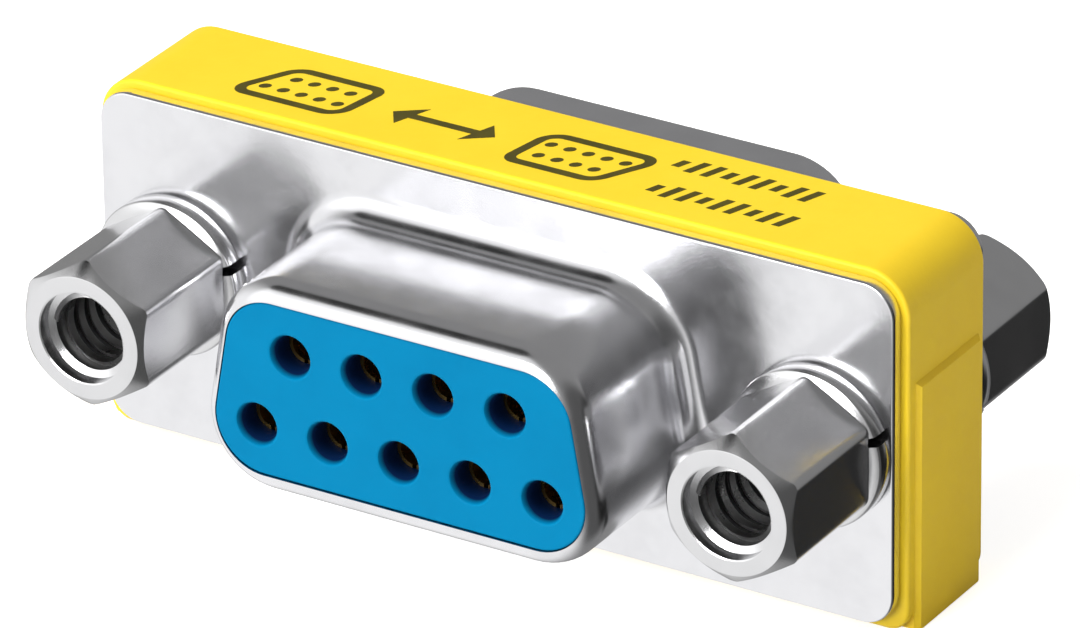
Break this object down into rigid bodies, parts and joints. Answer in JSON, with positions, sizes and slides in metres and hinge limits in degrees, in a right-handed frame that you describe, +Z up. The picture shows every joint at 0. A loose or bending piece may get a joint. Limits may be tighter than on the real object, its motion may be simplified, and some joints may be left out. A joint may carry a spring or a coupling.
{
  "type": "d-sub gender changer",
  "caption": "Slim socket-to-socket D-sub gender changer: yellow housing between two nickel flanges, blue contact faces in drawn D shrouds and threaded hex posts.",
  "frame": {"origin": "centre of the footprint, on the surface that the housing stands on", "axes": "+X along the flanges, -Y the way the front connector faces, +Z up"},
  "size_m": [0.0318, 0.0178, 0.0131],
  "materials": {
    "yellow_plastic": "moulded, satin gloss, printed on top",
    "nickel_shell": "bright nickel plate on drawn steel",
    "blue_plastic": "moulded, satin",
    "gold_contact": "gold flash",
    "nickel_post": "turned, nickel plated",
    "nickel_washer": "nickel plated spring steel"
  },
  "bodies": {
    "root": {"housing": "yellow_plastic", "front_shell": "nickel_shell", "rear_shell": "nickel_shell", "front_insulator": "blue_plastic", "rear_insulator": "blue_plastic", "contact_1": "gold_contact", "contact_2": "gold_contact", "contact_3": "gold_contact", "contact_4": "gold_contact", "contact_5": "gold_contact", "contact_6": "gold_contact", "contact_7": "gold_contact", "contact_8": "gold_contact", "contact_9": "gold_contact", "front_post_left": "nickel_post", "front_post_right": "nickel_post", "rear_post_left": "nickel_post", "rear_post_right": "nickel_post", "front_washer_left": "nickel_washer", "front_washer_right": "nickel_washer", "rear_washer_left": "nickel_washer", "rear_washer_right": "nickel_washer"}
  },
  "joints": []
}
